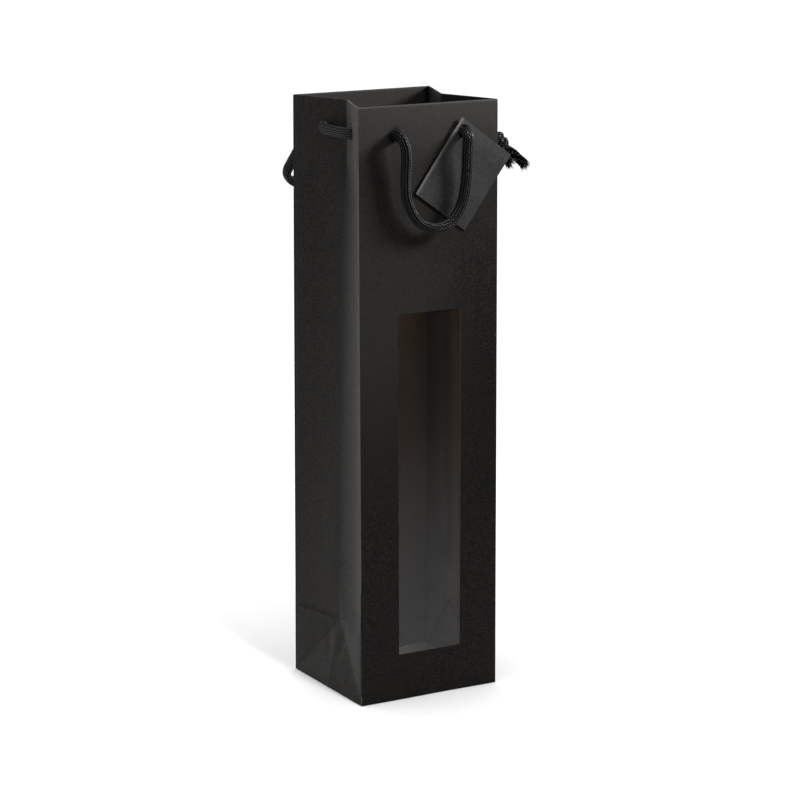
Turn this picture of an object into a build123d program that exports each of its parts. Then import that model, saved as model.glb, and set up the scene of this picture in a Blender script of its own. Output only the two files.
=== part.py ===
"""One-bottle paper gift bag with a clear window, laced braided cord handles and a hanging gift tag.

Frame: +Z up, X across the front panel, -Y out of the front panel. Origin: middle of the base.
The bag is one creased sheet of paper. Each flat stretch between two creases is a sub-part here.
"""
import os
from math import atan2, cos, degrees, hypot, pi, radians, sin, sqrt, tan

from build123d import *

# Bag
WIDTH = 100.0
DEPTH = 90.0
HEIGHT = 380.0
PAPER = 0.4
GLUE = 0.05  # room left for glue between two layers
MOUTH_INSET = 15.0  # how far the side creases are pushed in at the mouth
FOOT_INSET = 9.0  # the same at the top of the foot folds
FOOT_HEIGHT = 45.0
HEM_HEIGHT = 42.0

# Window and its film
WINDOW_WIDTH = 45.0
WINDOW_HEIGHT = 220.0
WINDOW_BOTTOM = 30.0
FILM = 0.2
FILM_MARGIN = 10.0

# Stiffening cards, base board and flaps
CARD = 1.0
CARD_WIDTH = 97.0
CARD_HEIGHT = 36.0
HEM_WIDTH = 96.0
BOARD = 1.5
BOARD_WIDTH = 97.6
BOARD_DEPTH = 88.6
FLAP_HALF_WIDTH = 49.3
FLAP_OVERLAP = 20.0
EAR_HALF_LENGTH = 44.0
EAR_REACH = 40.0
EAR_EDGE = 49.2
SEAM_WIDTH = 12.0
SEAM_EDGE = 49.0
SEAM_TOP = 335.0

# Holes, cord and knot
HOLE_RADIUS = 4.0
HOLE_FROM_FOLD = 26.0
HOLE_Z = 361.4
CORD = 6.0
STAND = 7.0  # from a panel to the line that its handle loop swings about
STUB_GAP = 3.4  # a cord stub stops this far short of that line
KNOT_STAND = 8.0
KNOT_STUB_GAP = 4.6
INNER_TURN = 12.2  # a cord end runs this far straight in before it turns to the side hole
SIDE_INNER = 6.0
SIDE_OUTER = 5.0
BACK_LOOP_TILT = 35.0
KNOT_CENTRE = (61.0, -24.0, 348.5)
KNOT_RADIUS = 7.5

# Gift tag
TAG_LONG = 56.0
TAG_SHORT = 44.0
TAG_CARD = 0.6
TAG_HOLE_RADIUS = 3.6
TAG_HOLE_INSET = 6.5
TAG_GAP = 2.0  # from the front panel to the middle of the card

# Worked out from the above
MOUTH_HALF = sqrt((DEPTH / 2) ** 2 - MOUTH_INSET**2)
LEAN = degrees(atan2(DEPTH / 2 - MOUTH_HALF, HEIGHT))
HOLE_X = WIDTH / 2 - HOLE_FROM_FOLD
HEM_DEPTH = PAPER + CARD + 2 * GLUE


def half_depth(z):
    """Distance from the middle of the bag to the outside of a main panel."""
    return DEPTH / 2 - (DEPTH / 2 - MOUTH_HALF) * z / HEIGHT


def inset(z):
    """Distance that the side crease is pushed in, above the foot."""
    return FOOT_INSET + (MOUTH_INSET - FOOT_INSET) * (z - FOOT_HEIGHT) / (HEIGHT - FOOT_HEIGHT)


def wall_plane(face, depth=0.0):
    """Plane of a main panel's outside, origin at its bottom edge, local Y up. face -1 is the front, 1 the back."""
    normal = (0, face * cos(radians(LEAN)), sin(radians(LEAN)))
    return Plane(origin=(0, face * DEPTH / 2, 0), x_dir=(-face, 0, 0), z_dir=normal).offset(-depth)


def save(part, name):
    part.label = name
    export_step(part, f"parts/{name}.step")


# Main panels and what is glued behind them


def main_panel(face, windowed):
    with BuildPart() as panel:
        with BuildSketch(wall_plane(face)):
            with Locations((0, HEIGHT / 2)):
                Rectangle(WIDTH, HEIGHT)
            with Locations((-HOLE_X, HOLE_Z), (HOLE_X, HOLE_Z)):
                Circle(HOLE_RADIUS, mode=Mode.SUBTRACT)
            if windowed:
                with Locations((0, WINDOW_BOTTOM + WINDOW_HEIGHT / 2)):
                    Rectangle(WINDOW_WIDTH, WINDOW_HEIGHT, mode=Mode.SUBTRACT)
        extrude(amount=-PAPER)
    return panel.part


def stiffening_card(face):
    with BuildPart() as card:
        with BuildSketch(wall_plane(face, PAPER + GLUE)):
            with Locations((0, HEIGHT - PAPER - GLUE - CARD_HEIGHT / 2)):
                Rectangle(CARD_WIDTH, CARD_HEIGHT)
            with Locations((-HOLE_X, HOLE_Z), (HOLE_X, HOLE_Z)):
                Circle(HOLE_RADIUS, mode=Mode.SUBTRACT)
        extrude(amount=-CARD)
    return card.part


def panel_hem(face):
    """The turned-in top of a main panel: it closes over the card's top edge and runs down behind it."""
    with BuildPart() as hem:
        with BuildSketch(wall_plane(face, PAPER)):
            with Locations((0, HEIGHT - PAPER / 2)):
                Rectangle(HEM_WIDTH, PAPER)
        extrude(amount=-(CARD + 2 * GLUE))
        with BuildSketch(wall_plane(face, HEM_DEPTH)):
            with Locations((0, HEIGHT - HEM_HEIGHT / 2)):
                Rectangle(HEM_WIDTH, HEM_HEIGHT)
            with Locations((-HOLE_X, HOLE_Z), (HOLE_X, HOLE_Z)):
                Circle(HOLE_RADIUS, mode=Mode.SUBTRACT)
        extrude(amount=-PAPER)
    return hem.part


def window_film():
    with BuildPart() as film:
        with BuildSketch(wall_plane(-1, PAPER + GLUE)):
            with Locations((0, WINDOW_BOTTOM + WINDOW_HEIGHT / 2)):
                Rectangle(WINDOW_WIDTH + 2 * FILM_MARGIN, WINDOW_HEIGHT + 2 * FILM_MARGIN)
        extrude(amount=-FILM)
    return film.part


def seam_lap():
    """The glued overlap that closes the sheet into a tube, inside the back panel's left edge."""
    height = SEAM_TOP - FOOT_HEIGHT
    with BuildPart() as lap:
        with BuildSketch(wall_plane(1, PAPER + GLUE)):
            with Locations((SEAM_EDGE - SEAM_WIDTH / 2, FOOT_HEIGHT + height / 2)):
                Rectangle(SEAM_WIDTH, height)
        extrude(amount=-PAPER)
    return lap.part


# Side gussets. side -1 is the left one, 1 the right. face -1 is the half beside the front panel.


def gusset_x(z, y):
    """Outside of a right gusset half at height z and distance y in front of or behind the crease."""
    return WIDTH / 2 - inset(z) * (half_depth(z) - abs(y)) / half_depth(z)


def gusset_section(side, face, z, edge, layer):
    """Corners of a gusset half cut level at height z. edge is the clearance from the main panel's outside."""
    thickness = PAPER * hypot(inset(z), half_depth(z)) / half_depth(z)
    outer = layer * (thickness + GLUE)
    y = half_depth(z) - edge
    corners = [
        (gusset_x(z, y) - outer, y),
        (gusset_x(z, 0) - outer, 0),
        (gusset_x(z, 0) - outer - thickness, 0),
        (gusset_x(z, y) - outer - thickness, y),
    ]
    return [(side * cx, face * cy) for cx, cy in corners]


def side_hole(side, face):
    """Centre of the cord hole on the gusset half's outside, and the outward direction there."""
    run = hypot(inset(HOLE_Z), half_depth(HOLE_Z))
    share = HOLE_FROM_FOLD / run
    centre = Vector(
        side * (WIDTH / 2 - share * inset(HOLE_Z)),
        face * (1 - share) * half_depth(HOLE_Z),
        HOLE_Z,
    )
    outward = Vector(side * half_depth(HOLE_Z) / run, -face * inset(HOLE_Z) / run, 0)
    return centre, outward


def gusset_half(side, face, bottom, edge, layer):
    centre, outward = side_hole(side, face)
    with BuildPart() as half:
        for z in (bottom, HEIGHT):
            with BuildSketch(Plane.XY.offset(z)):
                with BuildLine():
                    Polyline(*gusset_section(side, face, z, edge, layer), close=True)
                make_face()
        loft(ruled=True)
        with BuildSketch(Plane(origin=centre, z_dir=outward)):
            Circle(HOLE_RADIUS)
        extrude(amount=HOLE_RADIUS, both=True, mode=Mode.SUBTRACT)
    return half.part


def gusset_foot(side):
    """The three facets under the gusset, between the base edge, the two diagonal creases and the walls."""
    edge = PAPER + GLUE
    base_y = half_depth(0) - edge
    top_y = half_depth(FOOT_HEIGHT) - edge
    apex = (side * (WIDTH / 2 - FOOT_INSET), 0, FOOT_HEIGHT)
    base = [(side * WIDTH / 2, -base_y, 0), (side * WIDTH / 2, base_y, 0)]
    top = [(side * gusset_x(FOOT_HEIGHT, top_y), y, FOOT_HEIGHT) for y in (-top_y, top_y)]
    thickness = PAPER * hypot(FOOT_INSET, half_depth(FOOT_HEIGHT)) / half_depth(FOOT_HEIGHT)
    facets = [(base[0], base[1], apex), (base[0], apex, top[0]), (base[1], top[1], apex)]
    with BuildPart() as foot:
        for facet in facets:
            extrude(Face(Wire.make_polygon(facet)), amount=thickness, dir=(-side, 0, 0))
    return foot.part


# Base layers, from the outside in


def base_flap(face, bottom):
    reach = DEPTH / 2 - PAPER - GLUE
    length = reach + FLAP_OVERLAP / 2
    with BuildPart() as flap:
        with BuildSketch(Plane.XY.offset(bottom)):
            with Locations((0, face * (reach - length / 2))):
                Rectangle(2 * FLAP_HALF_WIDTH, length)
        extrude(amount=PAPER)
    return flap.part


def base_ear(side, bottom):
    """A side panel's turned-in foot, with its 45 degree folded edges."""
    tip = EAR_HALF_LENGTH - EAR_REACH
    inner = EAR_EDGE - EAR_REACH
    outline = [(EAR_EDGE, -EAR_HALF_LENGTH), (EAR_EDGE, EAR_HALF_LENGTH), (inner, tip), (inner, -tip)]
    with BuildPart() as ear:
        with BuildSketch(Plane.XY.offset(bottom)):
            with BuildLine():
                Polyline(*[(side * x, y) for x, y in outline], close=True)
            make_face()
        extrude(amount=PAPER)
    return ear.part


def base_board(bottom):
    with BuildPart() as board:
        with BuildSketch(Plane.XY.offset(bottom)):
            RectangleRounded(BOARD_WIDTH, BOARD_DEPTH, 2.0)
        extrude(amount=BOARD)
    return board.part


# Cords


def corner_radii(route):
    """Largest even arcs for a route's corners: 0.45 of the shorter run, over the tangent of half the turn."""
    points = [Vector(*p) for p in route]
    radii = []
    for before, corner, after in zip(points, points[1:], points[2:]):
        turn = radians((corner - before).get_angle(after - corner))
        shorter = min((corner - before).length, (after - corner).length)
        radii.append(0.45 * shorter / tan(turn / 2))
    return radii


def cord_tube(name, route):
    radii = corner_radii(route)
    with BuildPart() as tube:
        with BuildLine() as path:
            FilletPolyline(*route, radius=radii)
        with BuildSketch(Plane(origin=path.line @ 0, z_dir=path.line % 0)):
            Circle(CORD / 2)
        sweep(path=path.line)
    length = path.wire().length
    ratio = tube.part.volume / (pi * (CORD / 2) ** 2 * length)
    arcs = " ".join(f"{r:.1f}" for r in radii)
    print(f"{name}: length {length:.1f}, volume over section times length {ratio:.4f}, radii {arcs}")
    return tube.part


def loop_route(face, tilt, points):
    """A handle loop in a flat plane through its hinge line. Each point is (x, distance from the hinge line)."""
    y = half_depth(HOLE_Z) + STAND
    out, down = sin(radians(tilt)), cos(radians(tilt))
    return [(x, face * (y + reach * out), HOLE_Z - reach * down) for x, reach in points]


FRONT_LOOP = [
    (-HOLE_X, 0),
    (-20.2, 10),
    (-21, 27),
    (-19.8, 41.5),
    (-10, 56.5),
    (8.5, 59.3),
    (20, 46.5),
    (23.3, 28),
    (22.3, 10),
    (HOLE_X, 0),
]
BACK_LOOP = [
    (-HOLE_X, 0),
    (-33, 14),
    (-36.8, 33),
    (-38.8, 46),
    (-29, 54),
    (-8, 59),
    (14, 51),
    (23, 25),
    (HOLE_X, 0),
]


def corner_route(side, face, outside):
    """From a main panel's hole, round the inside of the corner, out through the gusset half's hole."""
    start = half_depth(HOLE_Z) + STAND - STUB_GAP
    centre, outward = side_hole(side, face)
    turn = (side * HOLE_X, face * (start - INNER_TURN), HOLE_Z)
    outer_end = centre + outward * outside
    return [(side * HOLE_X, face * start, HOLE_Z), turn, centre - outward * SIDE_INNER, outer_end]


def left_cord_route():
    front = corner_route(-1, -1, SIDE_OUTER)
    back = corner_route(-1, 1, SIDE_OUTER)
    return front + back[::-1]


def knot_start(face):
    centre, outward = side_hole(1, face)
    return centre + outward * KNOT_STAND


KNOT_CORDS = {
    "right_cord_front": [knot_start(-1), (53.0, -22.0, 359.5), (57.0, -26.5, 352.5)],
    "right_cord_rear": [knot_start(1), (57.0, -1.0, 361.0), (61.5, -19.5, 352.5)],
    "cord_tail_front": [(66.0, -25.0, 346.0), (72.5, -26.5, 341.5), (79.5, -27.0, 335.0)],
    "cord_tail_rear": [(60.0, -26.5, 342.5), (64.0, -28.0, 338.5), (69.0, -28.5, 334.5)],
}


def cord_knot():
    with BuildPart() as knot:
        with Locations(KNOT_CENTRE):
            Sphere(KNOT_RADIUS)
    return knot.part


def gift_tag():
    """A card on the front right cord, hanging from a hole near one corner with its middle under the hole."""
    across = TAG_LONG / 2 - TAG_HOLE_INSET
    down = TAG_SHORT / 2 - TAG_HOLE_INSET
    reach = hypot(across, down)
    turn = 270 - degrees(atan2(down, across))
    middle = half_depth(HOLE_Z) + TAG_GAP
    hang = Plane(origin=(HOLE_X, -middle, HOLE_Z), x_dir=(1, 0, 0), z_dir=(0, -1, 0))
    with BuildPart() as tag:
        with BuildSketch(hang):
            with Locations(Location((0, -reach), turn)):
                Rectangle(TAG_LONG, TAG_SHORT)
            Circle(TAG_HOLE_RADIUS, mode=Mode.SUBTRACT)
        extrude(amount=TAG_CARD / 2, both=True)
    return tag.part


os.makedirs("parts", exist_ok=True)

save(main_panel(-1, True), "front_panel")
save(main_panel(1, False), "back_panel")
save(stiffening_card(-1), "front_stiffening_card")
save(stiffening_card(1), "back_stiffening_card")
save(panel_hem(-1), "front_hem")
save(panel_hem(1), "back_hem")
save(window_film(), "window_film")
save(seam_lap(), "seam_lap")

for side, side_name in ((-1, "left"), (1, "right")):
    save(gusset_foot(side), f"{side_name}_gusset_foot")
    for face, face_name in ((-1, "front"), (1, "rear")):
        sheet = gusset_half(side, face, FOOT_HEIGHT, PAPER + GLUE, 0)
        save(sheet, f"{side_name}_gusset_{face_name}")
        hem_edge = HEM_DEPTH + PAPER + GLUE
        save(gusset_half(side, face, HEIGHT - HEM_HEIGHT, hem_edge, 1), f"{side_name}_hem_{face_name}")

layer_step = PAPER + GLUE
save(base_flap(-1, 0), "base_flap_front")
save(base_flap(1, layer_step), "base_flap_rear")
save(base_ear(-1, 2 * layer_step), "base_ear_left")
save(base_ear(1, 2 * layer_step), "base_ear_right")
save(base_board(3 * layer_step), "base_board")

save(cord_tube("front_handle_loop", loop_route(-1, 0, FRONT_LOOP)), "front_handle_loop")
save(cord_tube("back_handle_loop", loop_route(1, BACK_LOOP_TILT, BACK_LOOP)), "back_handle_loop")
save(cord_tube("left_side_cord", left_cord_route()), "left_side_cord")
for face, face_name in ((-1, "front"), (1, "rear")):
    name = f"right_inner_cord_{face_name}"
    save(cord_tube(name, corner_route(1, face, KNOT_STAND - KNOT_STUB_GAP)), name)
for name, route in KNOT_CORDS.items():
    save(cord_tube(name, route), name)
save(cord_knot(), "cord_knot")
save(gift_tag(), "gift_tag")
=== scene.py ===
import math
import random

import bmesh
import bpy
import numpy as np
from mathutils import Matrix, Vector


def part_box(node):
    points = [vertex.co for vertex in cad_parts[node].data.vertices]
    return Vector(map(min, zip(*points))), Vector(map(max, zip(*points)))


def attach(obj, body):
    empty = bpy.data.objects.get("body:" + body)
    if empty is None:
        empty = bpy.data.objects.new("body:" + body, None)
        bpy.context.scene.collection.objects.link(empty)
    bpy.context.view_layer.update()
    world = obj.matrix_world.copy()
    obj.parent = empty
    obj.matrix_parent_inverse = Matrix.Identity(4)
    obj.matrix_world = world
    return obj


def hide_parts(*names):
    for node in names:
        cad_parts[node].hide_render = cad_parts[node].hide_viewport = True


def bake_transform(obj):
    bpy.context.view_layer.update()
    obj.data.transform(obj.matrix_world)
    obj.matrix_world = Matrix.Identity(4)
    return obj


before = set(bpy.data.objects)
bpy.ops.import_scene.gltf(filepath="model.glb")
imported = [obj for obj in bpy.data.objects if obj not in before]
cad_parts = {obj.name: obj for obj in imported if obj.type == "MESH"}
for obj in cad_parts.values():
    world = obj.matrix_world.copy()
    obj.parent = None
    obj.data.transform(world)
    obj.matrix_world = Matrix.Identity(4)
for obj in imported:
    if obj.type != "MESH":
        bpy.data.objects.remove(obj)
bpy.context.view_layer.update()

# Sizes and places below are in millimetres, in the frame's axes, and MM turns them into metres.
MM = 0.001
PANEL_LOW, PANEL_HIGH = (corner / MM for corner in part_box("front_panel"))
WIDTH = PANEL_HIGH.x - PANEL_LOW.x
DEPTH = -2 * PANEL_LOW.y
HEIGHT = PANEL_HIGH.z
PAPER = 0.4
GLUE = 0.04  # between two layers glued together
FILM = 0.18
CARD_ROOM = 1.1  # between the two layers of a turned-in panel top, for the stiffening card
MOUTH_INSET = 15.0
FOOT_INSET = 9.0
FOOT_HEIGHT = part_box("left_gusset_foot")[1].z / MM
HEM_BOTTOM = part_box("front_hem")[0].z / MM
WINDOW_HALF = 22.5
WINDOW_BOTTOM = 30.0
WINDOW_TOP = 250.0
FILM_LOW, FILM_HIGH = (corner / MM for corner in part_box("window_film"))
SEAM_LOW, SEAM_HIGH = (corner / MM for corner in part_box("seam_lap"))
MOUTH_HALF = math.sqrt((DEPTH / 2) ** 2 - MOUTH_INSET**2)

HOLE_RADIUS = 4.0
HOLE_FROM_FOLD = 26.0
HOLE_Z = 361.4
HOLE_X = WIDTH / 2 - HOLE_FROM_FOLD

KRAFT = (0.19, 0.115, 0.058)
BLACK = (0.0078, 0.0069, 0.0062)


def smoothstep(low, high, x):
    t = np.clip((x - low) / (high - low), 0, 1)
    return t * t * (3 - 2 * t)


def bump(x, middle, width):
    return np.exp(-(((x - middle) / width) ** 2))


def half_depth(z):
    return DEPTH / 2 - (DEPTH / 2 - MOUTH_HALF) * z / HEIGHT


def crease_inset(z):
    """How far the crease of a gusset is pushed in. In the foot it slopes back out to the base."""
    if z < FOOT_HEIGHT:
        return FOOT_INSET * max(z, 0) / FOOT_HEIGHT
    return FOOT_INSET + (MOUTH_INSET - FOOT_INSET) * (z - FOOT_HEIGHT) / (HEIGHT - FOOT_HEIGHT)


def side_hole(side, face):
    """Centre of the cord hole in a gusset half and the outward direction there. face -1 is the front half."""
    inset, depth = crease_inset(HOLE_Z), half_depth(HOLE_Z)
    run = math.hypot(inset, depth)
    share = HOLE_FROM_FOLD / run
    centre = Vector((side * (WIDTH / 2 - share * inset), face * (1 - share) * depth, HOLE_Z))
    return centre, Vector((side * depth / run, -face * inset / run, 0))


# Camera


VIEW_AZIMUTH = -29.683
VIEW_ELEVATION = 12.553
VIEW_DISTANCE = 1.8
VIEW_TARGET = Vector((-0.0101, -0.0187, 0.1926))
LENS = 129.21


def make_camera():
    azimuth, elevation = math.radians(VIEW_AZIMUTH), math.radians(VIEW_ELEVATION)
    level = math.cos(elevation)
    back = Vector((math.sin(azimuth) * level, -math.cos(azimuth) * level, math.sin(elevation)))
    data = bpy.data.cameras.new("camera")
    data.lens = LENS
    data.clip_end = 50
    camera = bpy.data.objects.new("camera", data)
    camera.location = VIEW_TARGET + back * VIEW_DISTANCE
    camera.rotation_euler = (-back).to_track_quat("-Z", "Y").to_euler()
    bpy.context.scene.collection.objects.link(camera)
    bpy.context.scene.camera = camera


# Materials


class Nodes:
    """A new node material with short calls for the nodes used here."""

    def __init__(self, name):
        self.material = bpy.data.materials.new(name)
        self.material.use_nodes = True
        self.tree = self.material.node_tree
        self.shader = self.tree.nodes["Principled BSDF"]
        self.place = self.tree.nodes.new("ShaderNodeTexCoord").outputs["Object"]

    def link(self, source, target):
        self.tree.links.new(source, target)

    def set(self, **values):
        for name, value in values.items():
            self.shader.inputs[name.replace("_", " ")].default_value = value

    def noise(self, size_mm, detail=3.0, roughness=0.5, stretch=None):
        """Noise with features of about that size. stretch multiplies the size along X, Y and Z."""
        node = self.tree.nodes.new("ShaderNodeTexNoise")
        node.inputs["Scale"].default_value = 1 / (size_mm * MM)
        node.inputs["Detail"].default_value = detail
        node.inputs["Roughness"].default_value = roughness
        place = self.place
        if stretch:
            mapping = self.tree.nodes.new("ShaderNodeMapping")
            mapping.inputs["Scale"].default_value = [1 / s for s in stretch]
            self.link(self.place, mapping.inputs["Vector"])
            place = mapping.outputs["Vector"]
        self.link(place, node.inputs["Vector"])
        return node.outputs["Fac"]

    def ramp(self, source, stops):
        """stops are (position, grey or colour)."""
        node = self.tree.nodes.new("ShaderNodeValToRGB")
        elements = node.color_ramp.elements
        while len(elements) < len(stops):
            elements.new(0.5)
        for element, (position, value) in zip(elements, stops):
            element.position = position
            colour = value if isinstance(value, tuple) else (value, value, value)
            element.color = (*colour, 1)
        self.link(source, node.inputs["Fac"])
        return node.outputs["Color"]

    def math(self, operation, a, b):
        node = self.tree.nodes.new("ShaderNodeMath")
        node.operation = operation
        for socket, value in zip(node.inputs, (a, b)):
            if isinstance(value, (int, float)):
                socket.default_value = value
            else:
                self.link(value, socket)
        return node.outputs["Value"]

    def mix(self, factor, a, b):
        node = self.tree.nodes.new("ShaderNodeMix")
        node.data_type = "RGBA"
        for name, value in (("Factor", factor), ("A", a), ("B", b)):
            socket = [s for s in node.inputs if s.name == name and s.enabled][0]
            if isinstance(value, tuple):
                socket.default_value = (*value, 1)
            elif isinstance(value, (int, float)):
                socket.default_value = value
            else:
                self.link(value, socket)
        return [s for s in node.outputs if s.enabled][0]

    def multiply(self, a, b):
        node = self.tree.nodes.new("ShaderNodeMix")
        node.data_type, node.blend_type = "RGBA", "MULTIPLY"
        sockets = [s for s in node.inputs if s.enabled]
        sockets[0].default_value = 1
        self.link(a, sockets[1])
        self.link(b, sockets[2])
        return [s for s in node.outputs if s.enabled][0]

    def attribute(self, name):
        node = self.tree.nodes.new("ShaderNodeAttribute")
        node.attribute_name = name
        return node.outputs["Fac"]

    def bumps(self, *layers):
        """layers are (height, strength, distance in millimetres), the finest last."""
        normal = None
        for height, strength, distance in layers:
            node = self.tree.nodes.new("ShaderNodeBump")
            node.inputs["Strength"].default_value = strength
            node.inputs["Distance"].default_value = distance * MM
            self.link(height, node.inputs["Height"])
            if normal:
                self.link(normal, node.inputs["Normal"])
            normal = node.outputs["Normal"]
        self.link(normal, self.shader.inputs["Normal"])


def black_paper():
    """Black coated kraft: fine fibre mottle, brown kraft showing where a fold or rim is rubbed, a lighter
    grey painted where light falls more, and near black without sheen painted where shade falls.
    """
    n = Nodes("black_paper")
    fibre = n.noise(1.1, 5, 0.75)
    cloud = n.noise(11, 3, 0.5)
    base = n.ramp(fibre, [(0.38, tuple(0.15 * c for c in BLACK)), (0.62, tuple(2.0 * c for c in BLACK))])
    tint = n.ramp(cloud, [(0.35, (0.88, 0.89, 0.92)), (0.68, (1.15, 1.08, 1.0))])
    toned = n.multiply(base, tint)
    # Painted light: a lighter grey where the mesh marks places that light falls on more.
    painted_lit = n.mix(n.attribute("painted_light"), toned, (0.022, 0.021, 0.0195))
    flaking = n.math("ADD", n.attribute("wear"), n.math("MULTIPLY", n.noise(1.3, 4, 0.7), 0.9))
    worn = n.ramp(flaking, [(0.98, 0.0), (1.22, 1.0)])
    coloured = n.mix(worn, painted_lit, (0.115, 0.082, 0.052))
    # Painted shade: near black where the mesh marks places that light does not reach.
    n.link(n.mix(n.attribute("painted_shade"), coloured, (0.001, 0.001, 0.001)), n.shader.inputs["Base Color"])
    n.link(n.ramp(n.noise(0.9, 3, 0.7), [(0.36, 0.75), (0.64, 0.45)]), n.shader.inputs["Roughness"])
    # The sheen is taken out of the painted shade too.
    sheen_outside_shade = n.ramp(n.attribute("painted_shade"), [(0.0, 0.11), (0.9, 0.0)])
    n.link(sheen_outside_shade, n.shader.inputs["Sheen Weight"])
    n.set(Specular_IOR_Level=0.085, Sheen_Roughness=0.35)
    n.bumps((n.noise(2.6, 2, 0.5), 0.35, 0.15), (fibre, 0.8, 0.16))
    return n.material


def kraft_paper(name, tone):
    """The uncoated brown inside of the sheet, with longer fibres running up the bag."""
    n = Nodes(name)
    fibre = n.noise(0.5, 5, 0.7, stretch=(1, 1, 4))
    colour = tuple(tone * c for c in KRAFT)
    base = n.ramp(fibre, [(0.3, tuple(0.7 * c for c in colour)), (0.7, tuple(1.25 * c for c in colour))])
    # Painted shade on the kraft as well: near black where light does not reach.
    n.link(n.mix(n.attribute("painted_shade"), base, (0.004, 0.003, 0.002)), n.shader.inputs["Base Color"])
    n.set(Roughness=0.85, Specular_IOR_Level=0.25)
    n.bumps((fibre, 0.5, 0.08))
    return n.material


def greyboard(name, tone):
    """Matt recycled board. tone darkens it."""
    n = Nodes(name)
    fibre = n.noise(0.6, 5, 0.75)
    low, high = (tuple(tone * c for c in colour) for colour in ((0.12, 0.105, 0.09), (0.26, 0.235, 0.205)))
    n.link(n.ramp(fibre, [(0.3, low), (0.72, high)]), n.shader.inputs["Base Color"])
    n.set(Roughness=0.9, Specular_IOR_Level=0.2)
    n.bumps((fibre, 0.6, 0.1))
    return n.material


def clear_film():
    """Thin clear film, greyer and less clear towards its foot: a painted reflection of the floor."""
    n = Nodes("clear_film")
    height = n.tree.nodes.new("ShaderNodeSeparateXYZ")
    n.link(n.place, height.inputs["Vector"])
    level = n.math("MULTIPLY", height.outputs["Z"], 1 / (FILM_HIGH.z * MM))
    # Painted reflection of the floor: more opaque grey towards the foot.
    n.link(n.ramp(level, [(0.1, 0.05), (0.4, 0.03), (0.7, 0.008), (1.0, 0.003)]), n.shader.inputs["Alpha"])
    n.set(Base_Color=(0.55, 0.56, 0.59, 1), Roughness=0.25, Specular_IOR_Level=0.8)
    return n.material


def braided_cord():
    """Black polypropylene braid with fine filaments and a soft gloss: painted shade, near black, between its
    plaits and a painted highlight on their tops.
    """
    n = Nodes("braided_cord")
    plait = n.attribute("plait")
    filament = n.noise(0.3, 3, 0.6)
    # Painted shade in the gaps between plaits and painted highlight on their tops.
    gap, flank, top = (0.0003, 0.0003, 0.0004), (0.005, 0.005, 0.0062), (0.024, 0.024, 0.029)
    plait_light_and_shade = n.ramp(plait, [(0.5, gap), (0.82, flank), (1.0, top)])
    n.link(plait_light_and_shade, n.shader.inputs["Base Color"])
    # The gloss is taken out of the gaps too, as painted shade.
    n.link(n.ramp(plait, [(0.6, 0.0), (0.97, 0.3)]), n.shader.inputs["Specular IOR Level"])
    n.link(n.ramp(filament, [(0.3, 0.28), (0.7, 0.45)]), n.shader.inputs["Roughness"])
    n.bumps((filament, 0.4, 0.05))
    return n.material


def tag_card():
    """Smooth black card, a little lighter than the bag."""
    n = Nodes("tag_card")
    fibre = n.noise(0.5, 4, 0.6)
    mottle = n.noise(1.3, 4, 0.7)
    colour = n.ramp(mottle, [(0.35, (0.012, 0.0118, 0.0119)), (0.65, (0.029, 0.0284, 0.0282))])
    flaking = n.math("ADD", n.attribute("wear"), n.math("MULTIPLY", n.noise(1.0, 4, 0.7), 0.9))
    worn = n.mix(n.ramp(flaking, [(1.0, 0.0), (1.25, 0.8)]), colour, KRAFT)
    # Painted highlight: a lighter grey along the card's left side, where the mesh marks it.
    n.link(n.mix(n.attribute("painted_light"), worn, (0.12, 0.115, 0.112)), n.shader.inputs["Base Color"])
    n.link(n.ramp(n.noise(2.5, 2, 0.5), [(0.3, 0.42), (0.7, 0.55)]), n.shader.inputs["Roughness"])
    n.set(Specular_IOR_Level=0.22)
    n.bumps((mottle, 0.5, 0.12), (fibre, 0.5, 0.06))
    return n.material


# Mesh helpers


def finish_mesh(name, vertices, faces, materials, face_materials=None, sharp=35):
    """A new object from points in millimetres, smooth but for edges that turn by more than sharp degrees."""
    mesh = bpy.data.meshes.new(name)
    mesh.from_pydata((np.asarray(vertices) * MM).tolist(), [], faces)
    for material in materials:
        mesh.materials.append(material)
    if face_materials is not None:
        mesh.polygons.foreach_set("material_index", face_materials)
    piece = bpy.data.objects.new(name, mesh)
    bpy.context.scene.collection.objects.link(piece)
    smooth_all(mesh, sharp)
    return piece


def smooth_all(mesh, sharp):
    work = bmesh.new()
    work.from_mesh(mesh)
    bmesh.ops.recalc_face_normals(work, faces=work.faces)
    for face in work.faces:
        face.smooth = True
    for edge in work.edges:
        edge.smooth = edge.calc_face_angle(0) < math.radians(sharp)
    work.to_mesh(mesh)
    work.free()


def write_attribute(mesh, name, values):
    attribute = mesh.attributes.new(name, "FLOAT", "POINT")
    attribute.data.foreach_set("value", np.asarray(values, np.float32))


def points_of(mesh):
    """The mesh's vertices in millimetres."""
    flat = np.zeros(len(mesh.vertices) * 3, np.float32)
    mesh.vertices.foreach_get("co", flat)
    return flat.reshape(-1, 3).astype(float) / MM


def cut(piece, cutters):
    """Cuts closed meshes out of a closed piece, and returns its new mesh."""
    modifier = piece.modifiers.new("cut", "BOOLEAN")
    modifier.operation = "DIFFERENCE"
    modifier.solver = "EXACT"
    modifier.object = cutters
    bpy.context.view_layer.update()
    graph = bpy.context.evaluated_depsgraph_get()
    mesh = bpy.data.meshes.new_from_object(piece.evaluated_get(graph))
    piece.modifiers.clear()
    old = piece.data
    piece.data = mesh
    bpy.data.meshes.remove(old)
    bpy.data.objects.remove(cutters)
    return mesh


def rim_pairs(rows, wide):
    """The neighbouring points round the rim of a grid of that many rows, each wide points long."""
    rim = list(range(wide)) + [i * wide + wide - 1 for i in range(1, rows)]
    rim += [rows * wide - 1 - j for j in range(1, wide)] + [i * wide for i in range(rows - 2, 0, -1)]
    return list(zip(rim, rim[1:] + rim[:1]))


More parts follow.
